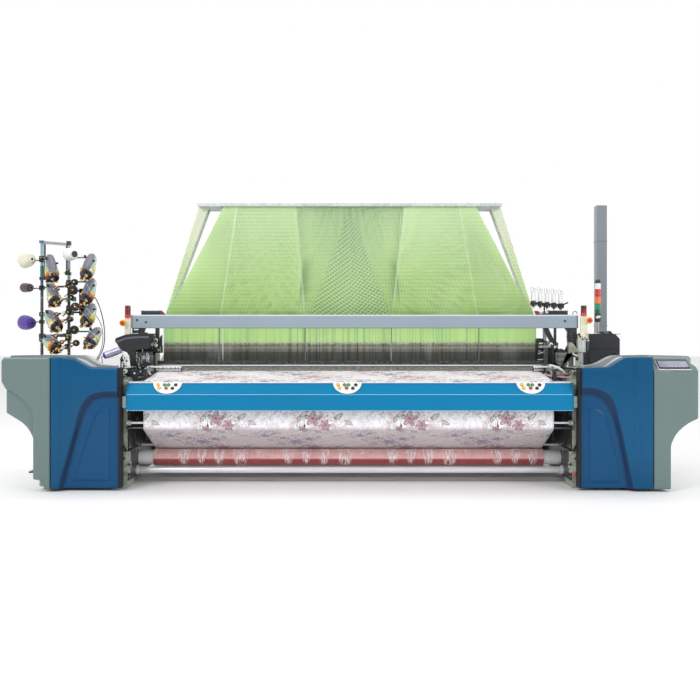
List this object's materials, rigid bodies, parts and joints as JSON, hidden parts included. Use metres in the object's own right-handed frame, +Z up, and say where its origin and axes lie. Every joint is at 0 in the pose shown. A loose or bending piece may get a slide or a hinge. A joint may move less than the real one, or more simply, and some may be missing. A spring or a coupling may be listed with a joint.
{
  "type": "power loom",
  "caption": "Wide jacquard rapier power loom with end covers, harness, sley, cloth roll, warp beam, weft feeders, lamps and control cabinet.",
  "frame": {"origin": "centre of the whole machine's footprint, on the floor", "axes": "+X along the loom's width to the weaver's right, +Y from the weaver to the warp side, +Z up"},
  "size_m": [5.8648, 2.0999, 2.54],
  "materials": {
    "cast_frame": "matte",
    "bare_steel": "satin",
    "cover_blue": "gloss",
    "cover_grey": "satin",
    "terminal_grey": "satin",
    "front_blue": "gloss",
    "plate_white": "gloss",
    "breast_steel": "satin",
    "rail_paint": "satin",
    "board_grey": "satin",
    "harness_green": "matte",
    "cloth": "matte",
    "warp_yarn": "matte",
    "lamp_parts": "satin",
    "cabinet_black": "satin",
    "post_grey": "satin",
    "stand_black": "satin",
    "feeder_grey": "satin",
    "yarn_cone": "matte",
    "selector_black": "gloss",
    "motor_paint": "satin",
    "cable_black": "matte",
    "sley_paint": "satin",
    "reed_steel": "satin",
    "cloth_rolled": "matte",
    "roller_steel": "satin",
    "flywheel_iron": "satin",
    "wheel_alu": "satin",
    "rapier_steel": "satin",
    "btn_amber": "gloss",
    "btn_green": "gloss",
    "btn_red": "gloss",
    "btn_black": "gloss"
  },
  "bodies": {
    "frame": {"left_side_frame": "cast_frame", "right_side_frame": "cast_frame", "cross_beams": "bare_steel", "left_blue_cover": "cover_blue", "left_grey_cover": "cover_grey", "right_blue_cover": "cover_blue", "right_grey_cover": "cover_grey", "control_terminal": "terminal_grey", "front_cover": "front_blue", "button_plates": "plate_white", "breast_beam": "breast_steel", "top_rail": "rail_paint", "harness_boards": "board_grey", "harness": "harness_green", "cloth_web": "cloth", "warp_sheet": "warp_yarn", "signal_lights": "lamp_parts", "control_cabinet": "cabinet_black", "upright_post": "post_grey", "feeder_stand": "stand_black", "weft_feeders": "feeder_grey", "yarn_packages": "yarn_cone", "weft_selector": "selector_black", "drive_motor": "motor_paint", "feeder_cable": "cable_black", "feeder_cable_thin": "cable_black"},
    "sley": {"sley": "sley_paint", "reed": "reed_steel"},
    "cloth_roll": {"cloth_roll": "cloth_rolled"},
    "take_up_roller": {"take_up_roller": "roller_steel"},
    "warp_beam": {"warp_beam": "warp_yarn"},
    "back_rest": {"back_rest": "roller_steel"},
    "flywheel": {"flywheel": "flywheel_iron"},
    "rapier_wheel_left": {"rapier_wheel_left": "wheel_alu"},
    "rapier_wheel_right": {"rapier_wheel_right": "wheel_alu"},
    "giver_rapier": {"giver_rapier": "rapier_steel"},
    "taker_rapier": {"taker_rapier": "rapier_steel"},
    "left_button_1": {"left_button_1": "btn_amber"},
    "left_button_2": {"left_button_2": "btn_amber"},
    "left_button_3": {"left_button_3": "btn_green"},
    "left_button_4": {"left_button_4": "btn_green"},
    "left_button_5": {"left_button_5": "btn_red"},
    "left_button_6": {"left_button_6": "btn_black"},
    "left_button_7": {"left_button_7": "btn_black"},
    "centre_button_1": {"centre_button_1": "btn_amber"},
    "centre_button_2": {"centre_button_2": "btn_amber"},
    "centre_button_3": {"centre_button_3": "btn_green"},
    "centre_button_4": {"centre_button_4": "btn_green"},
    "centre_button_5": {"centre_button_5": "btn_red"},
    "centre_button_6": {"centre_button_6": "btn_black"},
    "centre_button_7": {"centre_button_7": "btn_black"},
    "right_button_1": {"right_button_1": "btn_amber"},
    "right_button_2": {"right_button_2": "btn_amber"},
    "right_button_3": {"right_button_3": "btn_green"},
    "right_button_4": {"right_button_4": "btn_green"},
    "right_button_5": {"right_button_5": "btn_red"},
    "right_button_6": {"right_button_6": "btn_black"},
    "right_button_7": {"right_button_7": "btn_black"},
    "left_stop_button": {"left_stop_button": "btn_red"},
    "right_stop_button": {"right_stop_button": "btn_red"}
  },
  "joints": [
    {"name": "sley_swing", "type": "hinge", "parent": "frame", "child": "sley", "pos_m": [0.17744, -0.15, 0.42], "axis": [-1, 0, 0], "range_deg": [-17, 0]},
    {"name": "warp_beam_turn", "type": "hinge", "parent": "frame", "child": "warp_beam", "pos_m": [0.17744, 0.65, 0.47], "axis": [1, 0, 0], "continuous": true},
    {"name": "take_up_turn", "type": "hinge", "parent": "frame", "child": "take_up_roller", "pos_m": [0.17744, -0.825, 0.7], "axis": [1, 0, 0], "continuous": true},
    {"name": "cloth_roll_turn", "type": "hinge", "parent": "frame", "child": "cloth_roll", "pos_m": [0.17744, -0.49, 0.2], "axis": [1, 0, 0], "continuous": true},
    {"name": "back_rest_turn", "type": "hinge", "parent": "frame", "child": "back_rest", "pos_m": [0.17744, 0.8, 0.98], "axis": [1, 0, 0], "continuous": true},
    {"name": "flywheel_turn", "type": "hinge", "parent": "frame", "child": "flywheel", "pos_m": [-1.75256, 0.15, 0.62], "axis": [1, 0, 0], "continuous": true},
    {"name": "rapier_wheel_left_turn", "type": "hinge", "parent": "frame", "child": "rapier_wheel_left", "pos_m": [-2.01256, -0.23, 0.645], "axis": [0, 1, 0], "range_deg": [0, 348]},
    {"name": "rapier_wheel_right_turn", "type": "hinge", "parent": "frame", "child": "rapier_wheel_right", "pos_m": [2.36744, -0.23, 0.645], "axis": [0, -1, 0], "range_deg": [0, 348]},
    {"name": "giver_rapier_slide", "type": "slide", "parent": "frame", "child": "giver_rapier", "axis": [1, 0, 0], "range_m": [0, 1.7615]},
    {"name": "taker_rapier_slide", "type": "slide", "parent": "frame", "child": "taker_rapier", "axis": [-1, 0, 0], "range_m": [0, 1.7615]},
    {"name": "left_button_1_press", "type": "slide", "parent": "frame", "child": "left_button_1", "axis": [0, 0.8403, -0.5421], "range_m": [0, 0.004], "stiffness_N_per_m": 400, "springref_m": -0.003},
    {"name": "left_button_2_press", "type": "slide", "parent": "frame", "child": "left_button_2", "axis": [0, 0.8403, -0.5421], "range_m": [0, 0.004], "stiffness_N_per_m": 400, "springref_m": -0.003},
    {"name": "left_button_3_press", "type": "slide", "parent": "frame", "child": "left_button_3", "axis": [0, 0.8403, -0.5421], "range_m": [0, 0.004], "stiffness_N_per_m": 400, "springref_m": -0.003},
    {"name": "left_button_4_press", "type": "slide", "parent": "frame", "child": "left_button_4", "axis": [0, 0.8403, -0.5421], "range_m": [0, 0.004], "stiffness_N_per_m": 400, "springref_m": -0.003},
    {"name": "left_button_5_press", "type": "slide", "parent": "frame", "child": "left_button_5", "axis": [0, 0.8403, -0.5421], "range_m": [0, 0.004], "stiffness_N_per_m": 400, "springref_m": -0.003},
    {"name": "left_button_6_press", "type": "slide", "parent": "frame", "child": "left_button_6", "axis": [0, 0.8403, -0.5421], "range_m": [0, 0.004], "stiffness_N_per_m": 400, "springref_m": -0.003},
    {"name": "left_button_7_press", "type": "slide", "parent": "frame", "child": "left_button_7", "axis": [0, 0.8403, -0.5421], "range_m": [0, 0.004], "stiffness_N_per_m": 400, "springref_m": -0.003},
    {"name": "centre_button_1_press", "type": "slide", "parent": "frame", "child": "centre_button_1", "axis": [0, 0.8403, -0.5421], "range_m": [0, 0.004], "stiffness_N_per_m": 400, "springref_m": -0.003},
    {"name": "centre_button_2_press", "type": "slide", "parent": "frame", "child": "centre_button_2", "axis": [0, 0.8403, -0.5421], "range_m": [0, 0.004], "stiffness_N_per_m": 400, "springref_m": -0.003},
    {"name": "centre_button_3_press", "type": "slide", "parent": "frame", "child": "centre_button_3", "axis": [0, 0.8403, -0.5421], "range_m": [0, 0.004], "stiffness_N_per_m": 400, "springref_m": -0.003},
    {"name": "centre_button_4_press", "type": "slide", "parent": "frame", "child": "centre_button_4", "axis": [0, 0.8403, -0.5421], "range_m": [0, 0.004], "stiffness_N_per_m": 400, "springref_m": -0.003},
    {"name": "centre_button_5_press", "type": "slide", "parent": "frame", "child": "centre_button_5", "axis": [0, 0.8403, -0.5421], "range_m": [0, 0.004], "stiffness_N_per_m": 400, "springref_m": -0.003},
    {"name": "centre_button_6_press", "type": "slide", "parent": "frame", "child": "centre_button_6", "axis": [0, 0.8403, -0.5421], "range_m": [0, 0.004], "stiffness_N_per_m": 400, "springref_m": -0.003},
    {"name": "centre_button_7_press", "type": "slide", "parent": "frame", "child": "centre_button_7", "axis": [0, 0.8403, -0.5421], "range_m": [0, 0.004], "stiffness_N_per_m": 400, "springref_m": -0.003},
    {"name": "right_button_1_press", "type": "slide", "parent": "frame", "child": "right_button_1", "axis": [0, 0.8403, -0.5421], "range_m": [0, 0.004], "stiffness_N_per_m": 400, "springref_m": -0.003},
    {"name": "right_button_2_press", "type": "slide", "parent": "frame", "child": "right_button_2", "axis": [0, 0.8403, -0.5421], "range_m": [0, 0.004], "stiffness_N_per_m": 400, "springref_m": -0.003},
    {"name": "right_button_3_press", "type": "slide", "parent": "frame", "child": "right_button_3", "axis": [0, 0.8403, -0.5421], "range_m": [0, 0.004], "stiffness_N_per_m": 400, "springref_m": -0.003},
    {"name": "right_button_4_press", "type": "slide", "parent": "frame", "child": "right_button_4", "axis": [0, 0.8403, -0.5421], "range_m": [0, 0.004], "stiffness_N_per_m": 400, "springref_m": -0.003},
    {"name": "right_button_5_press", "type": "slide", "parent": "frame", "child": "right_button_5", "axis": [0, 0.8403, -0.5421], "range_m": [0, 0.004], "stiffness_N_per_m": 400, "springref_m": -0.003},
    {"name": "right_button_6_press", "type": "slide", "parent": "frame", "child": "right_button_6", "axis": [0, 0.8403, -0.5421], "range_m": [0, 0.004], "stiffness_N_per_m": 400, "springref_m": -0.003},
    {"name": "right_button_7_press", "type": "slide", "parent": "frame", "child": "right_button_7", "axis": [0, 0.8403, -0.5421], "range_m": [0, 0.004], "stiffness_N_per_m": 400, "springref_m": -0.003},
    {"name": "left_stop_button_press", "type": "slide", "parent": "frame", "child": "left_stop_button", "axis": [0, 1, 0], "range_m": [0, 0.006], "stiffness_N_per_m": 600, "springref_m": -0.003},
    {"name": "right_stop_button_press", "type": "slide", "parent": "frame", "child": "right_stop_button", "axis": [0, 1, 0], "range_m": [0, 0.006], "stiffness_N_per_m": 600, "springref_m": -0.003}
  ],
  "couplings": [
    {"joint": "take_up_turn", "follows": "warp_beam_turn", "ratio": 4.11},
    {"joint": "cloth_roll_turn", "follows": "warp_beam_turn", "ratio": -4.167},
    {"joint": "back_rest_turn", "follows": "warp_beam_turn", "ratio": 5},
    {"joint": "rapier_wheel_right_turn", "follows": "rapier_wheel_left_turn", "ratio": 1},
    {"joint": "giver_rapier_slide", "follows": "rapier_wheel_left_turn", "m_per_rad": 0.29},
    {"joint": "taker_rapier_slide", "follows": "rapier_wheel_left_turn", "m_per_rad": 0.29}
  ]
}
